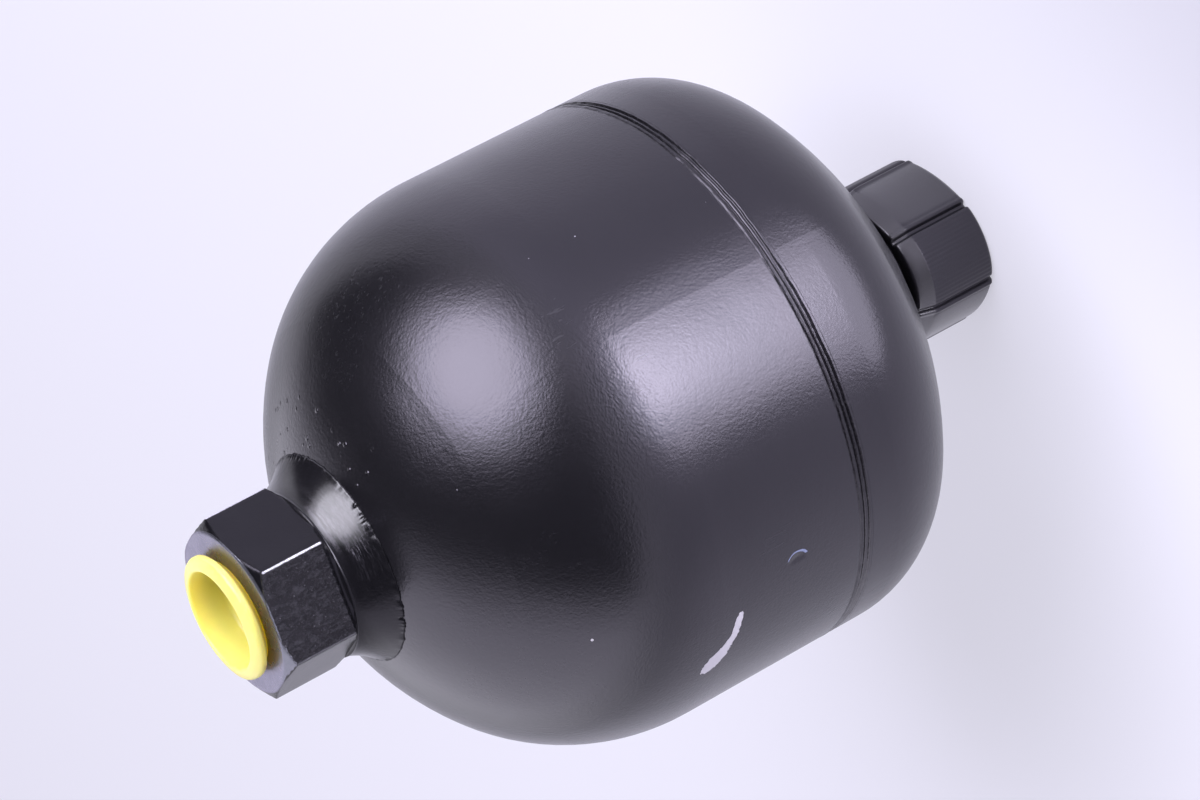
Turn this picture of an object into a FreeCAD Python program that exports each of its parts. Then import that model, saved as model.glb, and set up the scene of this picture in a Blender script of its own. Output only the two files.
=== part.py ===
import FreeCAD, Part
import math
import os

import Sketcher

# A weld-type diaphragm accumulator that stands on its gas cap, millimetres, +Z towards the fluid port.
# Every piece is turned or drawn about the Z axis. Heights are stacked up from the flat end of the cap.

SIZES = {
    # protective cap over the gas neck, stacked outwards from the neck's thread
    "cap_height": 22.9,
    "cap_end_wall": 3.0,
    "cap_thread_clearance": 0.35,
    "cap_sleeve_wall": 2.55,
    "cap_pocket_width": 2.7,
    "cap_skirt_wall": 2.8,
    "cap_foot_chamfer": 0.8,
    "cap_shoulder_inset": 0.9,
    "cap_shoulder_height": 4.0,
    "cap_flat_depth": 2.4,
    "cap_flat_turn": 31.7,
    "cap_groove_turn": 27.7,
    "cap_groove_width": 1.5,
    "cap_groove_depth": 0.9,
    "cap_pocket_arc": 44.0,
    "cap_pocket_floor": 5.0,
    "cap_overcut": 2.0,
    "cap_gap": 0.7,
    # gas neck, welded into the gas head
    "collar_step": 5.2,
    "collar_height": 4.3,
    "collar_chamfer": 0.8,
    "neck_thread_radius": 14.0,
    "neck_tip_clearance": 3.6,
    "neck_chamfer": 1.0,
    "neck_relief_depth": 1.2,
    "neck_relief_width": 2.0,
    "neck_spigot_step": 3.0,
    "neck_inner_stand": 1.0,
    "screw_well_clearance": 0.8,
    "screw_well_depth": 10.0,
    # charging screw and its sealing ring
    "screw_radius": 4.0,
    "screw_length": 15.0,
    "screw_head_step": 2.5,
    "screw_head_height": 8.0,
    "screw_edge": 0.6,
    "screw_socket_across": 6.0,
    "screw_socket_depth": 4.2,
    "seal_thickness": 1.0,
    "seal_clearance": 0.65,
    "seal_width": 2.0,
    # pressed steel shells; the shares are of the shell's radius
    "shell_radius": 72.0,
    "shell_wall": 6.0,
    "skirt_length": 52.6,
    "gas_knuckle_share": 0.3889,
    "gas_crown_extra": 0.3542,
    "fluid_knuckle_share": 0.8056,
    "fluid_crown_extra": 0.0903,
    # girth weld
    "weld_offset": 10.2,
    "weld_half_width": 2.05,
    "weld_root_half": 0.8,
    "weld_ridge_drop": 0.35,
    "weld_ridge_half": 0.3,
    "weld_groove_radius": 1.15,
    # fluid port: hexagon, neck and flared foot
    "port_height": 24.8,
    "hex_across": 41.0,
    "hex_overcut": 2.0,
    "hex_face_inset": 0.1,
    "hex_face_chamfer": 1.9,
    "hex_length": 19.8,
    "hex_back_chamfer": 1.3,
    "port_neck_step": 0.9,
    "flare_reach": 5.6,
    "flare_radius": 24.0,
    "port_thread_radius": 12.06,
    "port_thread_length": 16.0,
    "port_mouth_step": 1.44,
    "port_mouth_depth": 6.5,
    "port_drill_drop": 1.5,
    "port_way_step": 1.26,
    "port_spigot_wall": 4.2,
    "port_inner_stand": 1.2,
    # push-in plug
    "plug_clearance": 0.3,
    "plug_taper": 0.3,
    "plug_wall": 0.7,
    "plug_stand_off": 0.1,
    "plug_shoulder_step": 0.3,
    "plug_flange_step": 2.5,
    "plug_rim_low": 1.9,
    "plug_rim_high": 3.5,
    "plug_rim_round": 0.7,
    "plug_lip_inset": 0.55,
    "plug_lip_height": 4.5,
    "plug_lip_round": 0.4,
    "plug_depth": 6.1,
    "plug_floor": 1.2,
    # diaphragm, its clamp ring and its button
    "diaphragm_gap": 0.4,
    "diaphragm_wall": 2.5,
    "bead_height": 7.0,
    "bead_width": 5.5,
    "bead_offset": 5.7,
    "ring_lip": 2.2,
    "ring_lip_height": 7.5,
    "ring_foot": 3.0,
    "ring_band": 2.5,
    "ring_reach": 4.8,
    "button_overlap": 2.7,
    "button_thickness": 3.0,
    "button_edge": 0.8,
    "button_stem_radius": 5.0,
    "button_head_step": 4.0,
    "button_head_height": 1.7,
    "button_gap": 0.3,
    "centre_margin": 3.0,
    "centre_blend": 4.5,
    "centre_step": 1.0,
}

PANELS = 3

document = FreeCAD.newDocument("diaphragm_accumulator")
sheet = document.addObject("Spreadsheet::Sheet", "Sizes")


class Size:
    """A length that carries its number and the formula that gives it from the named cells."""

    def __init__(self, number, formula):
        self.number = number
        self.formula = formula

    def join(self, other, sign, number):
        return Size(number, "(%s %s %s)" % (self.formula, sign, other.formula))

    def __add__(self, other):
        other = as_size(other)
        return self.join(other, "+", self.number + other.number)

    def __sub__(self, other):
        other = as_size(other)
        return self.join(other, "-", self.number - other.number)

    def __mul__(self, other):
        other = as_size(other)
        return self.join(other, "*", self.number * other.number)

    def __truediv__(self, other):
        other = as_size(other)
        return self.join(other, "/", self.number / other.number)


def as_size(value):
    if isinstance(value, Size):
        return value
    return Size(float(value), "%.9g" % value)


def root(value):
    return Size(math.sqrt(value.number), "sqrt(%s)" % value.formula)


def cosine(degrees):
    return Size(math.cos(math.radians(degrees.number)), "cos(%s)" % degrees.formula)


def sine(degrees):
    return Size(math.sin(math.radians(degrees.number)), "sin(%s)" % degrees.formula)


def fill_sheet():
    """One row for each driving dimension: its name in column A and its aliased number in column B."""
    for row, (name, number) in enumerate(SIZES.items(), start=1):
        sheet.set("A%d" % row, name)
        sheet.set("B%d" % row, "%.6g" % number)
        sheet.setAlias("B%d" % row, name)
    document.recompute()


def size(name):
    return Size(float(sheet.get(name)), "Sizes.%s" % name)


def new_body(label):
    body = document.addObject("PartDesign::Body", label)
    body.Label = label
    body.Placement = FreeCAD.Placement()
    return body


def new_sketch(body, name, role):
    """A sketch on one of the body's own origin planes."""
    sketch = body.newObject("Sketcher::SketchObject", name)
    plane = [item for item in body.Origin.OriginFeatures if item.Role == role][0]
    sketch.AttachmentSupport = [(plane, "")]
    sketch.MapMode = "FlatFace"
    return sketch


def bind(sketch, constraint, formula):
    index = sketch.addConstraint(constraint)
    sketch.setExpression("Constraints[%d]" % index, formula)


def arc_between(start, end, radius, side):
    """The short arc from start to end whose centre lies left (1) or right (-1) of the chord."""
    chord = end - start
    half = chord.Length / 2
    normal = FreeCAD.Vector(-chord.y, chord.x, 0).normalize()
    reach = math.sqrt(max(radius * radius - half * half, 0.0))
    centre = (start + end) / 2 + normal * (side * reach)
    first, last = (start, end) if side > 0 else (end, start)
    angles = [math.atan2(point.y - centre.y, point.x - centre.x) for point in (first, last)]
    if angles[1] < angles[0]:
        angles[1] += 2 * math.pi
    circle = Part.Circle(centre, FreeCAD.Vector(0, 0, 1), radius)
    return Part.ArcOfCircle(circle, angles[0], angles[1])


def draw_outline(sketch, corners, arcs=None):
    """A closed outline through the corners, with every coordinate and radius bound to its formula.

    arcs maps the number of a side to its radius and to the side on which its centre lies."""
    arcs = arcs or {}
    points = [FreeCAD.Vector(x.number, y.number, 0) for x, y in corners]
    ends = []
    for number, start in enumerate(points):
        end = points[(number + 1) % len(points)]
        if number in arcs:
            radius, side = arcs[number]
            index = sketch.addGeometry(arc_between(start, end, radius.number, side), False)
            ends.append((index, 1, 2) if side > 0 else (index, 2, 1))
            bind(sketch, Sketcher.Constraint("Radius", index, radius.number), radius.formula)
        else:
            index = sketch.addGeometry(Part.LineSegment(start, end), False)
            ends.append((index, 1, 2))
    for number, (index, first, last) in enumerate(ends):
        following, entry, _ = ends[(number + 1) % len(ends)]
        sketch.addConstraint(Sketcher.Constraint("Coincident", index, last, following, entry))
    for (index, first, last), (x, y) in zip(ends, corners):
        bind(sketch, Sketcher.Constraint("DistanceX", -1, 1, index, first, x.number), x.formula)
        bind(sketch, Sketcher.Constraint("DistanceY", -1, 1, index, first, y.number), y.formula)


def turn(body, name, corners, arcs=None):
    """Revolve an outline of radius and height about Z."""
    sketch = new_sketch(body, name + "_section", "XZ_Plane")
    draw_outline(sketch, corners, arcs)
    solid = body.newObject("PartDesign::Revolution", name)
    solid.Profile = sketch
    solid.ReferenceAxis = (sketch, ["V_Axis"])
    solid.Angle = 360
    body.Tip = solid
    document.recompute()
    return solid


def cut(body, name, draw, level, depth, upward, turned=None):
    """Pocket a sketch that lies level above the XY plane, turned about Z."""
    sketch = new_sketch(body, name + "_sketch", "XY_Plane")
    draw(sketch)
    sketch.AttachmentOffset = FreeCAD.Placement(
        FreeCAD.Vector(0, 0, level.number),
        FreeCAD.Rotation(FreeCAD.Vector(0, 0, 1), turned.number if turned else 0.0),
    )
    sketch.setExpression("AttachmentOffset.Base.z", level.formula)
    if turned:
        sketch.setExpression("AttachmentOffset.Rotation.Angle", turned.formula)
    before = body.Shape.Volume
    pocket = body.newObject("PartDesign::Pocket", name)
    pocket.Profile = sketch
    pocket.Length = depth.number
    pocket.setExpression("Length", depth.formula)
    pocket.Reversed = upward
    body.Tip = pocket
    document.recompute()
    if pocket.Shape.Volume > before - 0.01:
        raise RuntimeError(name + " cuts nothing")
    return pocket


def around(body, name, feature, count):
    """Repeat a feature count times round the whole Z axis."""
    pattern = body.newObject("PartDesign::PolarPattern", name)
    pattern.Originals = [feature]
    pattern.Axis = (feature.Profile[0], ["N_Axis"])
    pattern.Angle = 360
    pattern.Occurrences = count
    body.Tip = pattern
    document.recompute()
    return pattern


def hexagon_corners(across):
    """The corners of a hexagon about Z with its first corner on +X."""
    radius = across / math.sqrt(3)
    turns = [as_size(60 * step) for step in range(6)]
    return [(radius * cosine(turned), radius * sine(turned)) for turned in turns]


class Head:
    """A dished head of two arcs: a knuckle that leaves the skirt and a crown tangent to it.

    The knuckle's centre lies on the equator, offset from the axis, and the crown's centre lies on the axis,
    drop beyond the equator. way is 1 for the head above the skirt and -1 for the one below it."""

    def __init__(self, knuckle_share, crown_extra, way):
        radius = size("shell_radius")
        self.way = way
        self.knuckle = radius * knuckle_share
        self.crown = radius + radius * crown_extra
        self.offset = radius - self.knuckle
        reach = self.crown - self.knuckle
        self.drop = root(reach * reach - self.offset * self.offset)
        self.height = self.crown - self.drop
        self.equator = None

    def level(self, above):
        return self.equator + above * self.way

    def meet(self, inset):
        """The point where knuckle and crown meet, on the surface that lies inset inside the outer one."""
        share = (self.crown - inset) / (self.crown - self.knuckle)
        return self.offset * share, self.level(self.drop * share - self.drop)

    def on_crown(self, radius, inset):
        """The point of the crown at this radius."""
        ball = self.crown - inset
        return radius, self.level(root(ball * ball - radius * radius) - self.drop)

    def pole(self, inset):
        return self.level(self.crown - inset - self.drop)


fill_sheet()
nothing = as_size(0)
wall = size("shell_wall")
shell_radius = size("shell_radius")
bore_radius = shell_radius - wall

gas_head = Head(size("gas_knuckle_share"), size("gas_crown_extra"), -1)
fluid_head = Head(size("fluid_knuckle_share"), size("fluid_crown_extra"), 1)

# heights above the flat end of the cap
collar_face = size("cap_height") + size("cap_gap")
gas_head.equator = collar_face + size("collar_height") + gas_head.height
fluid_head.equator = gas_head.equator + size("skirt_length")
port_face = fluid_head.pole(nothing) + size("port_height")
weld_centre = gas_head.equator + size("weld_offset")
weld_top = weld_centre + size("weld_half_width")
weld_bottom = weld_centre - size("weld_half_width")
root_top = weld_centre + size("weld_root_half")
root_bottom = weld_centre - size("weld_root_half")
bead_bottom = weld_centre + size("bead_offset")
bead_top = bead_bottom + size("bead_height")
neck_end = size("cap_end_wall") + size("neck_tip_clearance")
well_floor = neck_end + size("screw_well_depth")
screw_seat = well_floor - size("seal_thickness")
port_inner_end = fluid_head.pole(wall) - size("port_inner_stand")
button_top = port_inner_end - size("button_gap")

# radii that more than one piece follows
hex_corner = size("hex_across") / math.sqrt(3)
port_mouth = size("port_thread_radius") + size("port_mouth_step")
port_way = size("port_thread_radius") - size("port_way_step")
port_spigot = port_way + size("port_spigot_wall")
neck_spigot = size("neck_thread_radius") - size("neck_spigot_step")
screw_head = size("screw_radius") + size("screw_head_step")
bead_inner = bore_radius - size("bead_width")


def make_shell(label, head, hole, edge_outer, edge_inner):
    """A drawn shell with a hole at its pole and a bevelled edge at the girth weld."""
    body = new_body(label)
    corners = [
        head.on_crown(hole, nothing),
        head.meet(nothing),
        (shell_radius, head.equator),
        (shell_radius, edge_outer),
        (bore_radius, edge_inner),
        (bore_radius, head.equator),
        head.meet(wall),
        head.on_crown(hole, wall),
    ]
    arcs = {
        0: (head.crown, -head.way),
        1: (head.knuckle, -head.way),
        5: (head.knuckle - wall, head.way),
        6: (head.crown - wall, head.way),
    }
    turn(body, label + "_drawn", corners, arcs)
    return body


def make_girth_weld():
    """The weld between the shells: sunk below the skirt, with a low ridge between two grooves."""
    body = new_body("girth_weld")
    ridge = shell_radius - size("weld_ridge_drop")
    corners = [
        (shell_radius, weld_top),
        (ridge, weld_centre + size("weld_ridge_half")),
        (ridge, weld_centre - size("weld_ridge_half")),
        (shell_radius, weld_bottom),
        (bore_radius, root_bottom),
        (bore_radius, root_top),
    ]
    groove = size("weld_groove_radius")
    turn(body, "weld_bead", corners, {0: (groove, 1), 2: (groove, 1)})
    return body


def make_port_adapter():
    """The turned and milled fluid port: hexagon, neck, flared foot, threaded port and inner seat."""
    body = new_body("port_adapter")
    half_across = size("hex_across") / 2
    port_neck = half_across + size("port_neck_step")
    hex_back = port_face - size("hex_length")
    mouth_floor = port_face - size("port_mouth_depth")
    thread_end = mouth_floor - size("port_thread_length")
    corners = [
        (port_way, port_inner_end),
        (port_spigot, port_inner_end),
        fluid_head.on_crown(port_spigot, nothing),
        fluid_head.on_crown(port_neck + size("flare_reach"), nothing),
        (port_neck, hex_back),
        (hex_corner, hex_back + size("hex_back_chamfer")),
        (hex_corner, port_face - size("hex_face_chamfer")),
        (half_across - size("hex_face_inset"), port_face),
        (port_mouth, port_face),
        (port_mouth, mouth_floor),
        (size("port_thread_radius"), mouth_floor),
        (size("port_thread_radius"), thread_end),
        (port_way, thread_end - size("port_drill_drop")),
    ]
    turn(body, "port_turned", corners, {2: (fluid_head.crown, -1), 3: (size("flare_radius"), -1)})

    def draw_flats(sketch):
        draw_outline(sketch, hexagon_corners(size("hex_across")))
        outer = hex_corner + size("hex_overcut")
        circle = Part.Circle(FreeCAD.Vector(), FreeCAD.Vector(0, 0, 1), outer.number)
        index = sketch.addGeometry(circle, False)
        sketch.addConstraint(Sketcher.Constraint("Coincident", index, 3, -1, 1))
        bind(sketch, Sketcher.Constraint("Radius", index, outer.number), outer.formula)

    cut(body, "port_flats", draw_flats, hex_back, size("hex_length"), True)
    return body


def make_gas_neck():
    """The gas neck: a collar seated on the gas head, an outside thread and a well for the screw."""
    body = new_body("gas_neck")
    thread = size("neck_thread_radius")
    relief = thread - size("neck_relief_depth")
    collar = thread + size("collar_step")
    well = screw_head + size("screw_well_clearance")
    inner_end = gas_head.pole(wall) + size("neck_inner_stand")
    corners = [
        (size("screw_radius"), well_floor),
        (well, well_floor),
        (well, neck_end),
        (thread - size("neck_chamfer"), neck_end),
        (thread, neck_end + size("neck_chamfer")),
        (thread, collar_face - size("neck_relief_width")),
        (relief, collar_face - size("neck_relief_width")),
        (relief, collar_face),
        (collar - size("collar_chamfer"), collar_face),
        (collar, collar_face + size("collar_chamfer")),
        gas_head.on_crown(collar, nothing),
        gas_head.on_crown(neck_spigot, nothing),
        (neck_spigot, inner_end),
        (size("screw_radius"), inner_end),
    ]
    turn(body, "neck_turned", corners, {10: (gas_head.crown, -1)})
    return body


def make_charging_screw():
    """The charging screw: a cylinder head with a hexagon socket and a plain shank in the neck."""
    body = new_body("charging_screw")
    head_end = screw_seat - size("screw_head_height")
    shank_end = screw_seat + size("screw_length")
    edge = size("screw_edge")
    corners = [
        (nothing, head_end),
        (screw_head - edge, head_end),
        (screw_head, head_end + edge),
        (screw_head, screw_seat),
        (size("screw_radius"), screw_seat),
        (size("screw_radius"), shank_end - edge),
        (size("screw_radius") - edge, shank_end),
        (nothing, shank_end),
    ]
    turn(body, "screw_turned", corners)

    def draw_socket(sketch):
        draw_outline(sketch, hexagon_corners(size("screw_socket_across")))

    cut(body, "screw_socket", draw_socket, head_end, size("screw_socket_depth"), True)
    return body


def make_charging_seal():
    """The flat sealing ring between the head of the screw and the floor of its well."""
    body = new_body("charging_seal")
    inner = size("screw_radius") + size("seal_clearance")
    outer = inner + size("seal_width")
    corners = [
        (inner, screw_seat),
        (outer, screw_seat),
        (outer, well_floor),
        (inner, well_floor),
    ]
    turn(body, "seal_ring", corners)
    return body


def make_protective_cap():
    """The moulded cap: three flats and three grooved grips round a threaded sleeve."""
    body = new_body("protective_cap")
    height = size("cap_height")
    foot = size("cap_foot_chamfer")
    bore = size("neck_thread_radius") + size("cap_thread_clearance")
    pocket_inner = bore + size("cap_sleeve_wall")
    pocket_outer = pocket_inner + size("cap_pocket_width")
    radius = pocket_outer + size("cap_skirt_wall")
    corners = [
        (nothing, nothing),
        (radius - foot, nothing),
        (radius, foot),
        (radius, height - size("cap_shoulder_height")),
        (radius - size("cap_shoulder_inset"), height),
        (bore, height),
        (bore, size("cap_end_wall")),
        (nothing, size("cap_end_wall")),
    ]
    turn(body, "cap_turned", corners)
    beyond = radius + size("cap_overcut")
    reach = radius - size("cap_flat_depth")
    grip_turn = size("cap_flat_turn") - 180 / PANELS

    def draw_flat(sketch):
        corners = [
            (reach, nothing - beyond),
            (beyond, nothing - beyond),
            (beyond, beyond),
            (reach, beyond),
        ]
        draw_outline(sketch, corners)

    flat = cut(body, "cap_flat", draw_flat, nothing, height, True, size("cap_flat_turn"))
    around(body, "cap_flats", flat, PANELS)

    def draw_groove(sketch):
        half = size("cap_groove_width") / 2
        bottom = radius - size("cap_groove_depth")
        corners = [
            (bottom, nothing - half / 2),
            (beyond, nothing - half * 2),
            (beyond, half * 2),
            (bottom, half / 2),
        ]
        draw_outline(sketch, corners)

    for name, turned in (
        ("low", grip_turn - size("cap_groove_turn")),
        ("high", grip_turn + size("cap_groove_turn")),
    ):
        groove = cut(body, "cap_groove_" + name, draw_groove, nothing, height, True, turned)
        around(body, "cap_grooves_" + name, groove, PANELS)

    def draw_pocket(sketch):
        across = cosine(size("cap_pocket_arc") / 2)
        aside = sine(size("cap_pocket_arc") / 2)
        corners = [
            (pocket_outer * across, nothing - pocket_outer * aside),
            (pocket_outer * across, pocket_outer * aside),
            (pocket_inner * across, pocket_inner * aside),
            (pocket_inner * across, nothing - pocket_inner * aside),
        ]
        draw_outline(sketch, corners, {0: (pocket_outer, 1), 2: (pocket_inner, -1)})

    floor = size("cap_pocket_floor")
    pocket = cut(body, "cap_pocket", draw_pocket, floor, height - floor, True, grip_turn)
    around(body, "cap_pockets", pocket, PANELS)
    return body


def make_port_plug():
    """The push-in plug: a thin cup in the mouth of the port under a crowned flange."""
    body = new_body("port_plug")
    seat = port_face + size("plug_stand_off")
    tip = port_face - size("plug_depth")
    rim_top = port_face + size("plug_rim_high")
    lip_top = port_face + size("plug_lip_height")
    outer = port_mouth - size("plug_clearance")
    outer_tip = outer - size("plug_taper")
    flange = port_mouth + size("plug_flange_step")
    lip = port_mouth - size("plug_lip_inset")
    corners = [
        (nothing, tip),
        (outer_tip, tip),
        (outer, seat),
        (port_mouth + size("plug_shoulder_step"), seat),
        (flange, port_face + size("plug_rim_low")),
        (flange, rim_top - size("plug_rim_round")),
        (flange - size("plug_rim_round"), rim_top),
        (lip, lip_top),
        (lip - size("plug_lip_round"), lip_top - size("plug_lip_round")),
        (outer_tip - size("plug_wall"), tip + size("plug_floor")),
        (nothing, tip + size("plug_floor")),
    ]
    turn(body, "plug_moulded", corners, {5: (size("plug_rim_round"), 1)})
    return body


def make_diaphragm():
    """The rubber diaphragm laid against the fluid head: bead, skirt, dome and a dished centre."""
    body = new_body("diaphragm")
    outside = wall + size("diaphragm_gap")
    inside = outside + size("diaphragm_wall")
    centre_top = button_top - size("button_thickness") - size("button_gap")
    centre_bottom = centre_top - size("diaphragm_wall")
    hole = size("button_stem_radius") + size("button_gap")
    flat = port_way + size("button_overlap") + size("centre_margin")
    blend = flat + size("centre_blend")
    corners = [
        (shell_radius - outside, bead_bottom),
        (shell_radius - outside, fluid_head.equator),
        fluid_head.meet(outside),
        fluid_head.on_crown(blend, outside),
        (flat, centre_top),
        (hole, centre_top),
        (hole, centre_bottom),
        (flat + size("centre_step"), centre_bottom),
        fluid_head.on_crown(blend + size("centre_step"), inside),
        fluid_head.meet(inside),
        (shell_radius - inside, fluid_head.equator),
        (shell_radius - inside, bead_top),
        (bead_inner, bead_top),
        (bead_inner, bead_bottom),
    ]
    arcs = {
        1: (fluid_head.knuckle - outside, 1),
        2: (fluid_head.crown - outside, 1),
        8: (fluid_head.crown - inside, -1),
        9: (fluid_head.knuckle - inside, -1),
    }
    turn(body, "diaphragm_moulded", corners, arcs)
    return body


def make_diaphragm_button():
    """The plate that closes the port, with the stem and head that hold it in the diaphragm."""
    body = new_body("diaphragm_button")
    plate = port_way + size("button_overlap")
    stem = size("button_stem_radius")
    head = stem + size("button_head_step")
    plate_bottom = button_top - size("button_thickness")
    head_top = plate_bottom - size("diaphragm_wall") - size("button_gap") * 2
    head_bottom = head_top - size("button_head_height")
    edge = size("button_edge")
    corners = [
        (nothing, button_top),
        (nothing, head_bottom),
        (head, head_bottom),
        (head, head_top),
        (stem, head_top),
        (stem, plate_bottom),
        (plate, plate_bottom),
        (plate, button_top - edge),
        (plate - edge, button_top),
    ]
    turn(body, "button_turned", corners)
    return body


def make_clamp_ring():
    """The clamp ring: a band that backs the weld, a foot under the bead and a lip inside it."""
    body = new_body("clamp_ring")
    lip_inner = bead_inner - size("ring_lip")
    lip_top = bead_bottom + size("ring_lip_height")
    foot_bottom = bead_bottom - size("ring_foot")
    band_bottom = weld_centre - size("ring_reach")
    band_inner = bore_radius - size("ring_band")
    corners = [
        (bore_radius, band_bottom),
        (bore_radius, bead_bottom),
        (bead_inner, bead_bottom),
        (bead_inner, lip_top),
        (lip_inner, lip_top),
        (lip_inner, foot_bottom),
        (band_inner, foot_bottom),
        (band_inner, band_bottom),
    ]
    turn(body, "ring_pressed", corners)
    return body


def write_parts(bodies):
    document.recompute()
    for item in document.Objects:
        if "Invalid" in item.State or "Error" in item.State:
            raise RuntimeError(item.Label + " failed: " + ", ".join(item.State))
    for body in bodies:
        if body.Shape.isNull() or not body.Shape.isValid() or len(body.Shape.Solids) != 1:
            raise RuntimeError(body.Label + " is not one valid solid")
    os.makedirs("parts", exist_ok=True)
    for body in bodies:
        body.Shape.exportStep("parts/%s.step" % body.Label)
        box = body.Shape.BoundBox
        print("%-18s z %7.2f to %7.2f  volume %9.0f" % (body.Label, box.ZMin, box.ZMax, body.Shape.Volume))


write_parts(
    [
        make_shell("fluid_shell", fluid_head, port_spigot, weld_top, root_top),
        make_shell("gas_shell", gas_head, neck_spigot, weld_bottom, root_bottom),
        make_girth_weld(),
        make_port_adapter(),
        make_gas_neck(),
        make_charging_screw(),
        make_charging_seal(),
        make_protective_cap(),
        make_port_plug(),
        make_diaphragm(),
        make_diaphragm_button(),
        make_clamp_ring(),
    ]
)
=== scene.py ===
import math

import bpy
import numpy as np
from mathutils import Matrix, Vector


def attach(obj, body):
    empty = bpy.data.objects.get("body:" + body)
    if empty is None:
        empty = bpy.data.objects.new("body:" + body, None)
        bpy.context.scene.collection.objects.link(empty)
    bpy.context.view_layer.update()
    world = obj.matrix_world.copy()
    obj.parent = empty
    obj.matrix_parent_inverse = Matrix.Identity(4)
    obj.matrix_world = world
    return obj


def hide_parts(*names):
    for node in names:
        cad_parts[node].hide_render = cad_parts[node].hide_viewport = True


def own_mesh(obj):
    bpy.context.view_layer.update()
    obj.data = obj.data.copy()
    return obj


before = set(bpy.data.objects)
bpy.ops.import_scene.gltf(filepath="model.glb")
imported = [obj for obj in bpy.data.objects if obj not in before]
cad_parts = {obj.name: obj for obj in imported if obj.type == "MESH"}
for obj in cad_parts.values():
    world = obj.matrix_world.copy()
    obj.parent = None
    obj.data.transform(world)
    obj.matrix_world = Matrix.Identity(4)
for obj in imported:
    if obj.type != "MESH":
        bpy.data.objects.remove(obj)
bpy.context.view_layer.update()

MM = 0.001
TURN = 2 * math.pi

# sizes of the vessel in millimetres, heights from the flat end of the cap
WELD_MIDDLE = 81.8
WELD_HALF = 2.12
SKIRT_RADIUS = 72.0
SKIRT_WALL = 6.0
FLUID_EQUATOR = 124.2
PORT_FACE = 212.5
HEX_BACK = 192.7
HEX_ACROSS = 41.0
PORT_CORE = 12.06
THREAD_PITCH = 1.814
HEX_CORNER = HEX_ACROSS / math.sqrt(3)

# the crown of the fluid head: a ball about a point on the axis
CROWN_RADIUS = 78.5
CROWN_CENTRE = 109.18

# the azimuth that pointed away from the table while the vessel lay on its side
TABLE_UP = math.radians(26.6)


# ---------------------------------------------------------------- meshes


def from_grid(name, points, wraps_along=False):
    """A mesh through a grid of points, in millimetres.

    points[i, j] is the point at step i along the section and step j round the axis. The grid always
    closes round the axis, and wraps_along closes the section too. A first or last row on the axis becomes
    one pole."""
    rows, columns = points.shape[:2]
    first_pole = not wraps_along and np.allclose(points[0], points[0, 0])
    last_pole = not wraps_along and np.allclose(points[-1], points[-1, 0])
    top = 1 if first_pole else 0
    bottom = rows - 1 if last_pole else rows
    body = points[top:bottom].reshape(-1, 3)
    count = bottom - top
    index = np.arange(count * columns).reshape(count, columns)
    step = np.roll(index, -1, axis=1)
    if wraps_along:
        above, below = index, np.roll(index, -1, axis=0)
        above_step, below_step = step, np.roll(step, -1, axis=0)
    else:
        above, below = index[:-1], index[1:]
        above_step, below_step = step[:-1], step[1:]
    quads = np.stack([above, above_step, below_step, below], -1).reshape(-1, 4)
    extra = []
    triangles = []
    if first_pole:
        pole = len(body) + len(extra)
        extra.append(points[0, 0])
        triangles.append(np.stack([np.full(columns, pole), step[0], index[0]], -1))
    if last_pole:
        pole = len(body) + len(extra)
        extra.append(points[-1, 0])
        triangles.append(np.stack([np.full(columns, pole), index[-1], step[-1]], -1))
    if extra:
        body = np.vstack([body, extra])
    triangles = np.vstack(triangles) if triangles else np.zeros((0, 3), int)
    corners = np.concatenate([quads.ravel(), triangles.ravel()])
    totals = np.concatenate([np.full(len(quads), 4), np.full(len(triangles), 3)])
    starts = np.concatenate([[0], np.cumsum(totals)[:-1]])
    mesh = bpy.data.meshes.new(name)
    mesh.vertices.add(len(body))
    mesh.vertices.foreach_set("co", (body * MM).astype(np.float32).ravel())
    mesh.loops.add(len(corners))
    mesh.loops.foreach_set("vertex_index", corners.astype(np.int32))
    mesh.polygons.add(len(totals))
    mesh.polygons.foreach_set("loop_start", starts.astype(np.int32))
    mesh.polygons.foreach_set("loop_total", totals.astype(np.int32))
    mesh.polygons.foreach_set("use_smooth", np.ones(len(totals), bool))
    mesh.update(calc_edges=True)
    mesh.validate()
    piece = bpy.data.objects.new(name, mesh)
    bpy.context.scene.collection.objects.link(piece)
    return piece


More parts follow.
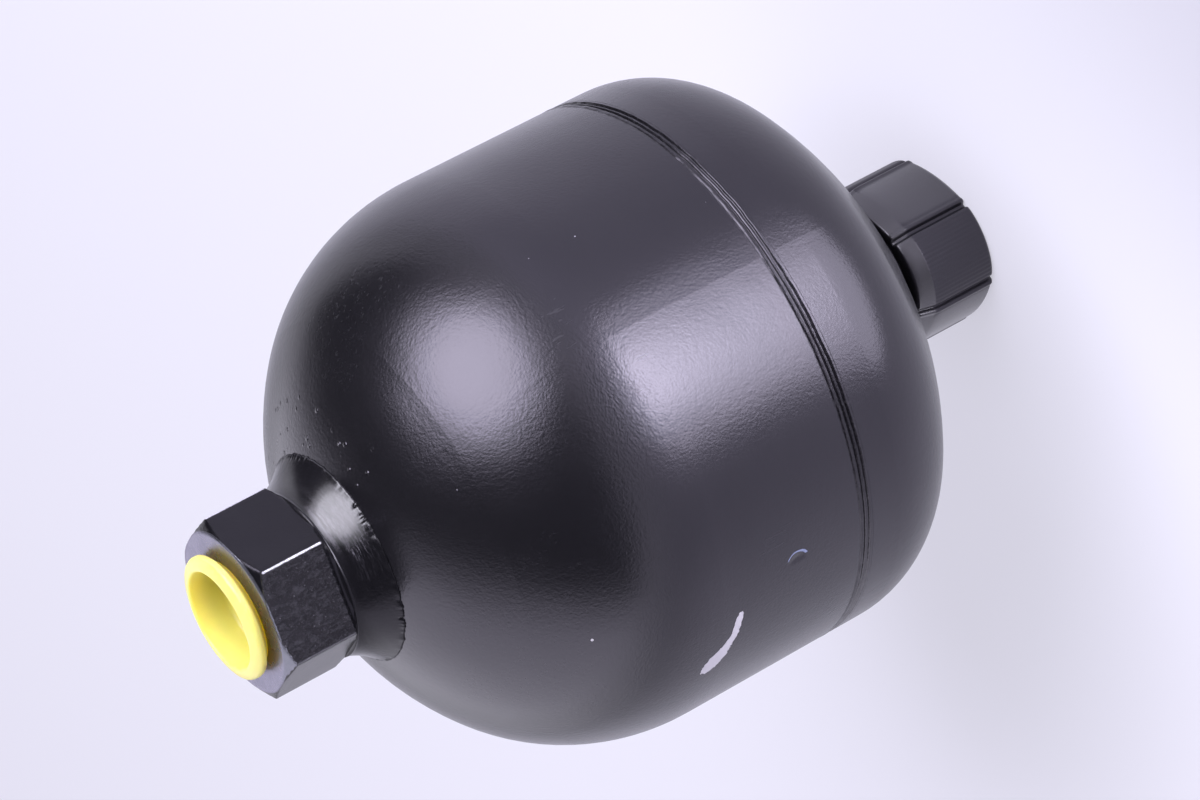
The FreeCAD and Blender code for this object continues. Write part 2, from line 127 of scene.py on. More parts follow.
def rounded(corners, spacing, closed=False):
    """A section through corners of (radius, height, rounding), sampled along its length.

    Each corner is replaced by a quadratic curve that leaves the two sides at the rounding's distance from it:
    (1-t)^2 a + 2 t (1-t) corner + t^2 b. The straight runs are divided to the spacing."""
    spots = np.array([c[:2] for c in corners], float)
    cuts = np.array([c[2] for c in corners], float)
    count = len(spots)
    pieces = []
    for i in range(count):
        here = spots[i]
        if not closed and i in (0, count - 1):
            pieces.append(here[None])
            continue
        to_last = spots[i - 1] - here
        to_next = spots[(i + 1) % count] - here
        reach_last = min(cuts[i], 0.45 * np.linalg.norm(to_last))
        reach_next = min(cuts[i], 0.45 * np.linalg.norm(to_next))
        if cuts[i] <= 0:
            pieces.append(here[None])
            continue
        a = here + to_last / np.linalg.norm(to_last) * reach_last
        b = here + to_next / np.linalg.norm(to_next) * reach_next
        t = np.linspace(0, 1, 7)[:, None]
        pieces.append((1 - t) ** 2 * a + 2 * t * (1 - t) * here + t**2 * b)
    path = [pieces[0]]
    for last, following in zip(pieces, pieces[1:] + ([pieces[0]] if closed else [])):
        gap = np.linalg.norm(following[0] - last[-1])
        parts = max(1, int(round(gap / spacing)))
        t = np.linspace(0, 1, parts + 1)[1:-1, None]
        path.append(last[-1] + (following[0] - last[-1]) * t)
        path.append(following)
    path = np.vstack(path)
    if closed:
        path = path[:-len(pieces[0])]
    keep = np.r_[True, np.linalg.norm(np.diff(path, axis=0), axis=1) > 1e-6]
    return path[keep]


def turned(radius, height, angles):
    """Points at radius and height round the axis: (r cos a, r sin a, z). Each input spreads over the grid."""
    radius, height, angles = np.broadcast_arrays(radius, height, angles)
    return np.stack([radius * np.cos(angles), radius * np.sin(angles), height], -1)


def soft_min(a, b, width):
    """The lower of two values, the crossing rounded over a width: (a + b - sqrt((a-b)^2 + width^2)) / 2."""
    return 0.5 * (a + b - np.sqrt((a - b) ** 2 + width**2))


def ease(value, low, high):
    """0 below low, 1 above high and the smooth cubic 3t^2 - 2t^3 between."""
    t = np.clip((value - low) / (high - low), 0, 1)
    return t * t * (3 - 2 * t)


def ripple(angles, seed, first, last, power=1.0):
    """A smooth random wave round the axis: cosines of whole orders, each weaker by its order's power."""
    chance = np.random.default_rng(seed)
    orders = np.arange(first, last + 1)
    phases = chance.uniform(0, TURN, len(orders))
    weights = chance.normal(0, 1, len(orders)) / (orders / first) ** power
    total = sum(w * np.cos(k * angles + p) for w, k, p in zip(weights, orders, phases))
    return total / math.sqrt(np.sum(weights**2) / 2)


def from_centre(angles, centre):
    """Angles measured from a centre, within half a turn either way."""
    return (angles - centre + math.pi) % TURN - math.pi


# ---------------------------------------------------------------- pieces


def make_girth_weld():
    """The weld ring: a section of edge, groove, ridge, groove, hump, edge, carried round the axis.

    The outside is the skirt's radius less a depth that is read off the section at t, the height above the
    wandering middle line stretched by a random wave. Each groove has a steep wall and a gentle one."""
    angles = np.linspace(0, TURN, 1440, endpoint=False)[None]
    across = np.linspace(-WELD_HALF, WELD_HALF, 60)[:, None]
    wander = 0.28 * np.cos(angles + 0.6) + 0.07 * ripple(angles, 3, 3, 14)
    t = across - wander
    rough = 0.5 + 0.5 * np.tanh(2.2 * np.cos(angles - 0.3))
    t = t * (1 + 0.03 * ripple(angles, 4, 12, 90, 0.6))
    t = t + 0.025 * ripple(angles, 5, 30, 120, 0.4) * rough
    section = np.array([
        (-1.70, 0.00),
        (-1.50, 0.06),
        (-1.20, 0.58),
        (-0.85, 0.64),
        (-0.60, 0.22),
        (-0.42, 0.10),
        (-0.20, 0.24),
        (0.05, 0.62),
        (0.35, 0.60),
        (0.60, 0.06),
        (0.82, -0.12),
        (1.20, -0.02),
        (1.66, 0.20),
        (1.84, 0.00),
    ])
    depth = np.interp(t, section[:, 0], section[:, 1])
    beads = 0.035 * rough * ripple(angles, 7, 30, 120, 0.3) * np.exp(-(((t - 1.1) / 0.5) ** 2))
    radius = SKIRT_RADIUS - 0.06 - depth + beads
    edge = ease(np.abs(across), 1.86, WELD_HALF)
    radius = radius * (1 - edge) + (SKIRT_RADIUS - 0.01) * edge
    height = WELD_MIDDLE + across + 0 * angles
    inner = np.linspace(0, 1, 5)[1:-1, None]
    up = SKIRT_RADIUS - (SKIRT_WALL - 0.6) * inner + 0 * angles
    up_height = WELD_MIDDLE + WELD_HALF - 1.3 * inner + 0 * angles
    down = up[::-1]
    down_height = WELD_MIDDLE - WELD_HALF + 1.3 * inner[::-1] + 0 * angles
    radius = np.vstack([radius, up, down])
    height = np.vstack([height, up_height, down_height])
    return from_grid("weld_bead", turned(radius, height, angles)[::-1], wraps_along=True)


def hexagon_radius(angles):
    """How far a hexagon with slightly rounded corners reaches: half its width over the soft maximum of the
    cosines to its six faces, log(sum(exp(b cos))) / b."""
    sharpness = 110.0
    faces = math.radians(30) + np.arange(6) * math.pi / 3
    cosines = np.cos(angles[..., None] - faces)
    return HEX_ACROSS / 2 * sharpness / np.log(np.exp(sharpness * cosines).sum(-1))


def make_port_adapter():
    """The fluid port: a turned section carried round the axis. Its hexagon is cut by a soft minimum of the
    section's radius and the hexagon's reach, and its thread is a groove that climbs one pitch a turn."""
    sector = np.linspace(-1, 1, 72, endpoint=False)
    local = math.radians(30) * (0.3 * sector + 0.7 * sector**3)
    angles = (local[None] + np.arange(6)[:, None] * math.pi / 3).ravel()[None]

    def on_crown(radius):
        return CROWN_CENTRE + math.sqrt((CROWN_RADIUS - 0.15) ** 2 - radius**2)

    foot_radius = 27.0
    neck_radius = 21.35
    mouth = 13.5
    mouth_floor = PORT_FACE - 6.5
    passage = 10.8
    seat = np.linspace(15.0, 26.7, 8)
    arc = np.linspace(0, 1, 26)
    bow = 4 * arc * (1 - arc) * 0.72
    foot = np.array([foot_radius, on_crown(foot_radius) + 0.35])
    neck = np.array([neck_radius, HEX_BACK - 0.25])
    along = (neck - foot) / np.linalg.norm(neck - foot)
    flare = foot + (neck - foot) * arc[:, None] + np.array([-along[1], along[0]]) * bow[:, None]
    head = rounded(
        [
            (neck_radius, HEX_BACK - 0.25, 0),
            (21.6, HEX_BACK, 0.25),
            (HEX_CORNER, HEX_BACK + 1.35, 0.4),
            (HEX_CORNER, PORT_FACE - 1.95, 0.4),
            (20.4, PORT_FACE, 0.45),
            (mouth + 0.25, PORT_FACE, 0.2),
            (mouth, PORT_FACE - 0.25, 0.2),
            (mouth, mouth_floor, 0.3),
            (12.25, mouth_floor, 0.2),
            (12.1, PORT_FACE - 6.9, 0),
        ],
        0.9,
    )
    thread_height = np.arange(PORT_FACE - 7.1, PORT_FACE - 22.3, -0.25)
    thread = np.stack([np.full_like(thread_height, PORT_CORE), thread_height], -1)
    way = rounded(
        [(PORT_CORE, PORT_FACE - 22.5, 0.3), (passage, PORT_FACE - 24.0, 0.3), (passage, 180.55, 0.3)],
        1.5,
    )
    start = np.array([[10.9, 180.5], [14.9, 180.5]])
    sleeve = np.stack([seat, [on_crown(r) for r in seat]], -1)
    section = np.vstack([start, sleeve, flare, head[1:], thread, way])
    base = section[:, :1]
    height = section[:, 1:] + 0 * angles
    radius = base + 0 * angles
    is_hex = (section[:, 1] > HEX_BACK - 0.1) & (section[:, 0] > 20.3)
    blend = np.where(is_hex, 1.0, 0.0)[:, None]
    hexed = soft_min(radius, hexagon_radius(angles), 0.22)
    radius = radius * (1 - blend) + hexed * blend
    in_thread = (np.abs(section[:, 0] - PORT_CORE) < 0.001)[:, None]
    climb = (height / THREAD_PITCH - angles / TURN) % 1.0
    groove = 1.1 * np.clip(1.25 - 2.5 * np.abs(climb - 0.5), 0, 1)
    radius = radius + in_thread * groove * ease(height, PORT_FACE - 22.2, PORT_FACE - 20.5)
    rim = np.exp(-(((base - 26.8) / 0.5) ** 2)) * (section[:, 1:] < 186)
    rough = 0.12 * ripple(angles, 11, 20, 120, 0.3) + 0.08 * ripple(angles, 12, 90, 200, 0.0)
    radius = radius + rim * rough
    return from_grid("port_body", turned(radius, height, angles)[::-1], wraps_along=True)


def make_port_plug():
    """The push-in plug: a rounded section turned round the axis, with a low gate mark on its floor."""
    tip = PORT_FACE - 6.05
    cup_floor = tip + 1.2
    gate = tip + 1.5
    flange = 15.95
    section = rounded(
        [
            (0.0, tip, 0),
            (12.75, tip, 0.6),
            (13.15, PORT_FACE + 0.12, 0.15),
            (13.7, PORT_FACE + 0.12, 0.15),
            (flange, PORT_FACE + 1.75, 0.35),
            (flange, PORT_FACE + 3.3, 0.7),
            (14.4, PORT_FACE + 3.95, 0.6),
            (12.9, PORT_FACE + 4.45, 0.55),
            (12.5, PORT_FACE + 3.9, 0.4),
            (12.25, cup_floor, 1.4),
            (2.0, cup_floor, 0.6),
            (1.2, gate, 0.4),
            (0.0, gate, 0),
        ],
        0.35,
    )
    angles = np.linspace(0, TURN, 180, endpoint=False)[None]
    radius = section[:, :1] + 0 * angles
    height = section[:, 1:] + 0 * angles
    # a thin uneven line of moulding flash round the flange
    flash = np.exp(-(((section[:, :1] - 15.9) / 0.25) ** 2)) * 0.05 * ripple(angles, 21, 2, 9)
    return from_grid("plug_cup", turned(radius + flash, height, angles)[::-1])


# the cap: the azimuth of its first flat and its sizes
CAP_FLAT = math.radians(31.7)
CAP_THIRD = TURN / 3
CAP_RADIUS = 22.4
CAP_HEIGHT = 22.9
CAP_REACH = 20.5
CAP_MOUTH = 14.8


def make_protective_cap():
    """The moulded cap: a turned section whose outside is cut by three flats, each a soft minimum with
    reach / cos(angle from the flat), and by grooves and fine ribs in the three grips between them.

    The two end faces are stretched between their inner edge and the cut outline."""
    ribs = 18
    grip_half = math.radians(26.4)
    angles = np.linspace(0, TURN, 960, endpoint=False)[None]
    skin = rounded(
        [
            (0.0, 0.0, 0),
            (21.5, 0.0, 0.9),
            (CAP_RADIUS, 0.9, 0.5),
            (CAP_RADIUS, CAP_HEIGHT - 4.4, 0.3),
            (22.2, CAP_HEIGHT - 3.8, 0.3),
            (20.95, CAP_HEIGHT, 0.5),
            (CAP_MOUTH, CAP_HEIGHT, 0),
        ],
        1.5,
    )
    bore = rounded(
        [(14.5, CAP_HEIGHT - 0.15, 0), (14.35, CAP_HEIGHT - 0.5, 0.2), (14.35, 3.0, 0.4), (0.0, 3.0, 0)],
        3.0,
    )
    base = skin[:, :1]
    height = skin[:, 1:]
    near_flat = from_centre(angles * 3, CAP_FLAT * 3) / 3
    near_grip = from_centre(angles * 3, (CAP_FLAT + CAP_THIRD / 2) * 3) / 3
    on_side = (height > 2) & (height < CAP_HEIGHT - 0.52)
    inset = np.where(on_side, 1.8 * ease(height, CAP_HEIGHT - 6.0, CAP_HEIGHT + 2.0), CAP_RADIUS - base)
    reach = (CAP_REACH - inset) / np.cos(np.clip(0.72 * near_flat, -0.9, 0.9))
    radius = soft_min(base + 0 * angles, reach, 1.5)
    # a groove at each end of a grip, with a low bar beside it
    for side in (-1, 1):
        away = (near_grip - side * math.radians(27.9)) * CAP_RADIUS
        radius = radius - 1.15 / (1 + (away / 0.72) ** 6)
        radius = radius + 0.35 * np.exp(-(((away - side * 1.55) / 0.65) ** 2))
    in_grip = ease(grip_half - np.abs(near_grip), 0.0, 0.01)
    comb = 0.5 - 0.5 * np.cos(near_grip / grip_half * math.pi * ribs)
    low = ease(height, 0.7, 1.2) * (1 - ease(height, CAP_HEIGHT - 4.4, CAP_HEIGHT - 4.1))
    radius = radius - 0.07 * comb * in_grip * low
    bottom = np.flatnonzero(skin[:, 1] < 0.001)
    top = np.flatnonzero(skin[:, 1] > CAP_HEIGHT - 0.001)
    for face, outer, inner in ((bottom, bottom[-1], 0.0), (top, top[0], CAP_MOUTH)):
        share = (base[face] - inner) / (base[outer] - inner)
        radius[face] = inner + (radius[outer] - inner) * share
    radius = np.vstack([radius, bore[:, :1] + 0 * angles])
    height = np.vstack([height, bore[:, 1:]]) + 0 * angles
    return from_grid("cap_moulding", turned(radius, height, angles)[::-1])


def make_diaphragm():
    """The rubber diaphragm: bead, skirt, dome and dished centre as one turned section."""
    gap = 6.4
    wall = 2.5
    knuckle = 58.0
    offset = SKIRT_RADIUS - knuckle
    meet = math.atan2(offset, math.sqrt((CROWN_RADIUS - knuckle) ** 2 - offset**2))

    def dome(inset, low, count):
        turn = np.linspace(0, math.pi / 2 - meet, count)
        bow = knuckle - inset
        bend = np.stack([offset + bow * np.cos(turn), FLUID_EQUATOR + bow * np.sin(turn)], -1)
        ball = CROWN_RADIUS - inset
        fall = np.linspace(meet, math.asin(low / ball), count)[1:]
        crown = np.stack([ball * np.sin(fall), CROWN_CENTRE + ball * np.cos(fall)], -1)
        return np.vstack([bend, crown])

    bead_low = 87.5
    stem = 5.3
    dish = 176.9
    outer = np.vstack([[[65.6, bead_low]], dome(gap, 21.0, 24), [[16.5, dish], [stem, dish]]])
    bead = [[60.5, bead_low], [60.5, 94.5], [63.1, 94.9]]
    dish_back = [[17.5, dish - wall], [stem, dish - wall]]
    inner = np.vstack([bead, dome(gap + wall, 22.0, 24), dish_back])
    section = np.vstack([outer, inner[::-1]])
    angles = np.linspace(0, TURN, 120, endpoint=False)[None]
    grid = turned(section[:, :1], section[:, 1:], angles)
    return from_grid("rubber_diaphragm", grid[::-1], wraps_along=True)


# ---------------------------------------------------------------- materials


class Value:
    """One number socket of a shader, with the arithmetic that its formulas use."""

    def __init__(self, nodes, socket):
        self.nodes = nodes
        self.socket = socket

    def work(self, operation, *others):
        numbers = {i + 1: other for i, other in enumerate(others)}
        return self.nodes.add("Math", {"operation": operation}, {0: self, **numbers})

    def __add__(self, other):
        return self.work("ADD", other)

    __radd__ = __add__

    def __sub__(self, other):
        return self.work("SUBTRACT", other)

    def __rsub__(self, other):
        return self.nodes.add("Math", {"operation": "SUBTRACT"}, {0: other, 1: self})

    def __mul__(self, other):
        return self.work("MULTIPLY", other)

    __rmul__ = __mul__

    def __truediv__(self, other):
        return self.work("DIVIDE", other)

    def __pow__(self, other):
        return self.work("POWER", other)

    def __abs__(self):
        return self.work("ABSOLUTE")

    def most(self, other):
        return self.work("MAXIMUM", other)

    def rise(self, low, high):
        """0 below low, 1 above high and smooth between; with low above high it falls instead."""
        bounds = {"From Min": low, "From Max": high, "To Min": 0.0, "To Max": 1.0}
        return self.nodes.add("MapRange", {"interpolation_type": "SMOOTHSTEP"}, {"Value": self, **bounds})


class Nodes:
    """The nodes of one material or world."""

    def __init__(self, tree):
        self.tree = tree
        self.tree.nodes.clear()

    def add(self, kind, settings=None, inputs=None, output=0):
        """Adds a node of a kind, makes its settings, then sets or links its inputs. Gives one output."""
        node = self.tree.nodes.new("ShaderNode" + kind)
        for name, setting in (settings or {}).items():
            setattr(node, name, setting)
        for name, given in (inputs or {}).items():
            socket = node.inputs[name]
            if isinstance(given, Value):
                self.tree.links.new(given.socket, socket)
            else:
                socket.default_value = given
        return Value(self, node.outputs[output])

    def place(self):
        return self.add("TexCoord", output="Object")

    def noise(self, where, size, detail=2.0, roughness=0.5, distortion=0.0):
        """A cloud pattern whose features are about size metres across."""
        inputs = {"Vector": where, "Scale": 1 / size, "Detail": detail}
        return self.add("TexNoise", inputs={**inputs, "Roughness": roughness, "Distortion": distortion})

    def stretched(self, where, scale, turn=(0.0, 0.0, 0.0)):
        return self.add("Mapping", inputs={"Vector": where, "Rotation": turn, "Scale": scale})

    def along(self, where, direction, start=0.0):
        """How far a place lies along a direction, from a start."""
        dot = self.add("VectorMath", {"operation": "DOT_PRODUCT"}, {0: where, 1: direction}, output="Value")
        return dot - start

    def parts(self, where):
        node = self.tree.nodes.new("ShaderNodeSeparateXYZ")
        self.tree.links.new(where.socket, node.inputs[0])
        return [Value(self, node.outputs[i]) for i in range(3)]

    def blend(self, factor, first, second):
        """A colour between two, by a factor."""
        node = self.tree.nodes.new("ShaderNodeMix")
        node.data_type = "RGBA"
        for socket, given in ((node.inputs[0], factor), (node.inputs[6], first), (node.inputs[7], second)):
            if isinstance(given, Value):
                self.tree.links.new(given.socket, socket)
            else:
                socket.default_value = given if isinstance(given, float) else (*given, 1.0)
        return Value(self, node.outputs[2])

    def bump(self, height, depth, under=None):
        """Relief of a depth in metres, over the relief under it."""
        inputs = {"Height": height, "Distance": depth, "Strength": 1.0}
        if under is not None:
            inputs["Normal"] = under
        return self.add("Bump", inputs=inputs)

    def finish(self, shader, kind="ShaderNodeOutputMaterial"):
        node = self.tree.nodes.new(kind)
        self.tree.links.new(shader.socket, node.inputs["Surface"])

    def mark(self, where, centre, directions, sizes):
        """How far inside an oval mark a place is: 1 at its middle, 0 on its edge, below 0 outside.

        The oval is centred on a point and lies along the directions with half sizes, all in millimetres."""
        total = None
        for direction, half in zip(directions, sizes):
            start = float(np.dot(centre, direction)) * MM
            share = self.along(where, tuple(direction), start) / (half * MM)
            total = share * share if total is None else total + share * share
        return 1.0 - total


def new_material(name):
    material = bpy.data.materials.new(name)
    material.use_nodes = True
    return material, Nodes(material.node_tree)


def finish_surface(nodes, colour, roughness, normal=None, metallic=0.0, **constants):
    """A Principled surface on the material's output. Names in constants have their spaces as underscores."""
    inputs = {"Base Color": colour if isinstance(colour, Value) else (*colour, 1.0)}
    inputs["Roughness"] = roughness
    inputs["Metallic"] = metallic
    if normal is not None:
        inputs["Normal"] = normal
    for name, number in constants.items():
        inputs[name.replace("_", " ")] = number
    nodes.finish(nodes.add("BsdfPrincipled", inputs=inputs))


PAINT = (0.0042, 0.0040, 0.0050)
PAINT_THIN = (0.0075, 0.0072, 0.0088)
BARE_STEEL = (0.205, 0.205, 0.23)
PRIMER = (0.53, 0.51, 0.545)
SHEEN = (0.92, 0.87, 1.0, 1.0)
AXES = ((1, 0, 0), (0, 1, 0), (0, 0, 1))


def direction_at(degrees):
    """The unit vectors outwards and round the axis at an azimuth."""
    angle = math.radians(degrees)
    return (math.cos(angle), math.sin(angle), 0.0), (-math.sin(angle), math.cos(angle), 0.0)


def leaning(round_axis, share_round, share_up):
    """A unit vector on the skin: so much of round_axis and so much of +Z."""
    length = math.hypot(share_round, share_up)
    return (round_axis[0] * share_round / length, round_axis[1] * share_round / length, share_up / length)


def paint_relief(nodes, where, under=None):
    """Sprayed paint: long waves, orange peel and a fine grain, one bump over the other."""
    waves = nodes.noise(where, 0.022, 1.0)
    peel = nodes.noise(where, 0.0012, 2.0, 0.55)
    grain = nodes.noise(where, 0.0006, 2.0, 0.6)
    relief = nodes.bump(waves, 0.00025, under)
    relief = nodes.bump(peel, 0.00004, relief)
    return nodes.bump(grain, 0.00003, relief)


def make_shell_paint():
    """Satin black paint on the shells, with dust nibs near the port, a chip, a nick with a painted glint
    along its edge, a scratch and scuffs.
    """
    material, nodes = new_material("shell_paint")
    where = nodes.place()
    height = nodes.parts(where)[2]
    relief = paint_relief(nodes, where)

    cell_grid = {"Vector": where, "Scale": 470.0, "Randomness": 1.0}
    cells = nodes.add("TexVoronoi", {"feature": "F1"}, cell_grid)
    chance = nodes.add("TexVoronoi", {"feature": "F1"}, cell_grid, output="Color")
    lot = nodes.parts(chance)[0]
    spray_side = nodes.along(where, direction_at(58.0)[0])
    near_port = height.rise(0.176, 0.180) * spray_side.rise(0.012, 0.022)
    nib = cells.rise(0.36, 0.18) * lot.rise(0.70, 0.76) * near_port
    relief = nodes.bump(nib, 0.0003, relief)

    # the chip is two ovals and a link between them, with a ragged edge
    edge = nodes.noise(where, 0.0016, 3.0, 0.6) - 0.5
    lower_out, lower_side = direction_at(-73.0)
    upper_out, upper_side = direction_at(-65.0)
    lower_lie = (leaning(lower_side, -3.9, 4.0), leaning(lower_side, 4.0, 3.9), lower_out)
    upper = nodes.mark(
        where,
        (29.6, -65.6, 120.35),
        (leaning(upper_side, 5.2, -1.4), leaning(upper_side, 1.4, 5.2), upper_out),
        (5.1, 1.15, 2.5),
    )
    lower = nodes.mark(where, (21.7, -68.6, 125.8), lower_lie, (5.2, 2.3, 2.5))
    link = nodes.mark(where, (26.0, -67.1, 122.4), lower_lie, (3.6, 1.1, 2.5))
    chip = (upper.most(lower).most(link) + edge * 1.5).rise(0.0, 0.12)

    # the nick is part of a ring round a small hollow; its pale blue line is a painted glint along the nick's
    # edge
    nick_out, nick_side = direction_at(-57.39)
    nick_round = nodes.along(where, nick_side)
    nick_up = height - 0.1025
    nick_way = (nick_round * nick_round + nick_up * nick_up) ** 0.5
    on_skin = nodes.along(where, nick_out, 0.070).rise(0.0, 0.001)
    thinning = (height - 0.0999) * 0.045
    arc = (abs(nick_way - 0.0030 + edge * 0.0004) + thinning).rise(0.00044, 0.00024)
    nick_glint = arc * nick_round.rise(0.0011, 0.0015) * on_skin
    hollow = nick_way.rise(0.0031, 0.0012) * nick_round.rise(-0.0006, 0.0016) * on_skin
    relief = nodes.bump(1.0 - hollow, 0.0003, relief)
    scratch_out, scratch_side = direction_at(-93.0)
    scratch = nodes.mark(
        where,
        (-4.0, -71.9, 113.5),
        (leaning(scratch_side, -0.25, 1.0), leaning(scratch_side, 1.0, 0.25), scratch_out),
        (5.6, 0.16, 2.0),
    )
    scratched = (scratch + edge * 0.8).rise(0.0, 0.5) * 0.75
    speck = nodes.mark(where, (34.5, -52.6, 155.4), AXES, (0.42, 0.42, 0.42)).rise(0.0, 0.3)

    streaks = nodes.noise(nodes.stretched(where, (1.0, 1.0, 0.05), (0.5, 0.3, 0.0)), 0.0009, 2.0, 0.6)
    scuffs = nodes.noise(where, 0.05, 3.0, 0.6).rise(0.56, 0.72) * streaks.rise(0.60, 0.72)
    dust = nodes.noise(where, 0.0012, 4.0, 0.7).rise(0.66, 0.80)
    grid = {"Vector": where, "Scale": 110.0, "Randomness": 1.0}
    fleck = nodes.add("TexVoronoi", {"feature": "F1"}, grid).rise(0.030, 0.018)
    fleck_lot = nodes.parts(nodes.add("TexVoronoi", {"feature": "F1"}, grid, output="Color"))[1]
    flecks = fleck * fleck_lot.rise(0.55, 0.9)
    bared = chip.most(scratched).most(speck)
    colour = nodes.blend(nodes.noise(where, 0.03, 3.0), PAINT, PAINT_THIN)
    colour = nodes.blend(dust * 0.25, colour, (0.05, 0.05, 0.055))
    colour = nodes.blend(scuffs * 0.12, colour, (0.12, 0.12, 0.125))
    colour = nodes.blend(flecks * 0.5, colour, (0.30, 0.29, 0.33))
    # painted glint: the nick's edge is coloured pale blue as if it caught the light
    colour = nodes.blend(nick_glint * 0.8, colour, (0.22, 0.26, 0.42))
    colour = nodes.blend(nib * 0.5, colour, (0.002, 0.002, 0.0025))
    colour = nodes.blend(bared, colour, PRIMER)
    roughness = 0.23 + nodes.noise(where, 0.012, 3.0) * 0.05 + scuffs * 0.15 + bared * 0.25
    relief = nodes.bump(1.0 - bared, 0.00012, relief)
    finish_surface(nodes, colour, roughness, relief, IOR=1.6, Specular_Tint=SHEEN)
    return material


def make_weld_paint():
    """The same paint run thin over the weld, with a pale dry grain on the bead, much stronger on the side
    facing the lamps as painted glints.
    """
    material, nodes = new_material("weld_paint")
    where = nodes.place()
    grit = nodes.noise(where, 0.0007, 4.0, 0.7)
    lumps = nodes.noise(where, 0.0022, 3.0, 0.6)
    relief = nodes.bump(lumps, 0.00011)
    relief = nodes.bump(grit, 0.000025, relief)
    x = nodes.parts(where)[0]
    # pale grain on the bead: faint all round, and over three times stronger on the +x side facing the lamps,
    # where it is painted glint
    dry_grain_and_glints = grit.rise(0.52, 0.7) * (x.rise(0.02, 0.07) * 0.7 + 0.3)
    colour = nodes.blend(dry_grain_and_glints * 0.12, PAINT, (0.16, 0.155, 0.17))
    finish_surface(nodes, colour, 0.17 + grit * 0.14, relief, IOR=1.6, Specular_Tint=SHEEN)
    return material


def make_port_paint():
    """Paint on the hexagon and its foot, worn to steel along the edges. The face and the mouth are bare."""
    material, nodes = new_material("port_paint")
    where = nodes.place()
    x, y, z = nodes.parts(where)
    relief = paint_relief(nodes, where)
    reach = (x * x + y * y) ** 0.5

    face_out = direction_at(-30.0)[0]
    on_front = nodes.along(where, face_out, 0.0199).rise(0.0, 0.0003) * z.rise(0.1935, 0.1945)
    wrinkles = nodes.noise(nodes.stretched(where, (1.0, 1.0, 0.55)), 0.0012, 5.0, 0.7, 0.3)
    pits = nodes.noise(where, 0.0005, 3.0, 0.7)
    relief = nodes.bump(wrinkles * on_front, 0.0010, relief)
    relief = nodes.bump(pits * on_front, 0.00030, relief)

    ring_place = nodes.add("CombineXYZ", inputs={"X": reach, "Y": z * 0.6, "Z": y * 0.10})
    runs = nodes.noise(ring_place, 0.0011, 3.0, 0.6)
    on_foot = z.rise(0.1915, 0.1890) * x.rise(0.010, 0.016) * y.rise(-0.016, -0.006) * y.rise(0.016, 0.006)
    relief = nodes.bump(runs * on_foot, 0.0016, relief)
    dent = nodes.mark(where, (15.6, 13.2, 185.0), AXES, (2.4, 2.0, 2.0)).rise(-0.3, 0.8)
    pock = nodes.mark(where, (12.5, 17.0, 184.6), AXES, (1.5, 1.4, 1.4)).rise(-0.3, 0.8)
    relief = nodes.bump(1.0 - dent.most(pock), 0.0006, relief)

    wobble = (nodes.noise(where, 0.0011, 3.0, 0.6) - 0.5) * 0.0006
    bare_face = (z + wobble * 0.5).rise(0.21205, 0.21225)
    bore = reach.rise(0.0141, 0.0137)
    rub = nodes.mark(where, (23.3, -3.0, 211.0), AXES, (1.1, 1.3, 1.2)).rise(-0.1, 0.4)
    chamfer = (reach + z * 1.677 + wobble * 0.5).rise(0.37655, 0.37670)
    low_bare = chamfer * nodes.along(where, direction_at(-62.0)[0]).rise(0.0195, 0.0205)
    edge_wear = (reach + wobble * 0.15).rise(0.02336, 0.02344) * z.rise(0.1938, 0.1946)
    edge_wear = edge_wear * (y.rise(-0.013, -0.006) * 0.7 + 0.3)
    worn = bare_face.most(bore).most(rub).most(low_bare).most(edge_wear)
    ding = nodes.mark(where, (22.9, -4.5, 195.2), AXES, (1.0, 1.0, 0.6)).rise(0.0, 0.5)
    worn = worn.most(ding)

    rings = nodes.noise(nodes.stretched(where, (0.02, 0.02, 1.0)), 0.0006, 2.0)
    cuts = {"Vector": where, "Scale": 900.0, "Distortion": 0.6, "Detail": 1.0}
    lathe = nodes.add("TexWave", {"wave_type": "RINGS", "rings_direction": "Z"}, cuts)
    stain = nodes.noise(where, 0.006, 3.0, 0.6)
    steel = nodes.blend(stain, BARE_STEEL, (0.115, 0.12, 0.145))
    colour = nodes.blend(nodes.noise(where, 0.008, 3.0), PAINT, PAINT_THIN)
    # lighter mottling on the front flat: partly the paint's own unevenness, partly painted glints in place of
    # the speckled highlights on the wrinkled paint
    mottle_and_glints = wrinkles.rise(0.46, 0.70) * 0.25 + pits.rise(0.52, 0.70) * 0.22
    colour = nodes.blend(on_front * mottle_and_glints, colour, (0.085, 0.083, 0.095))
    steel = nodes.blend(edge_wear.most(ding), steel, (0.86, 0.84, 0.90))
    colour = nodes.blend(worn, colour, steel)
    metallic = worn * 0.92
    roughness = (0.20 + on_front * 0.06) * (1.0 - worn) + worn * (0.20 + stain * 0.14)
    relief = nodes.bump(lathe * worn + rings * 0.2, 0.000012, relief)
    specks = nodes.noise(where, 0.0007, 2.0, 0.5).rise(0.70, 0.74) * on_front
    colour = nodes.blend(specks * 0.3, colour, (0.30, 0.29, 0.32))
    thick = z.rise(0.1935, 0.1915) * y.rise(-0.014, 0.004) * y.rise(0.024, 0.017)
    shine = {"Coat Weight": thick * 0.9, "Coat Roughness": 0.18, "Coat IOR": 1.6}
    finish_surface(nodes, colour, roughness, relief, metallic, IOR=1.33, Specular_Tint=SHEEN, **shine)
    return material


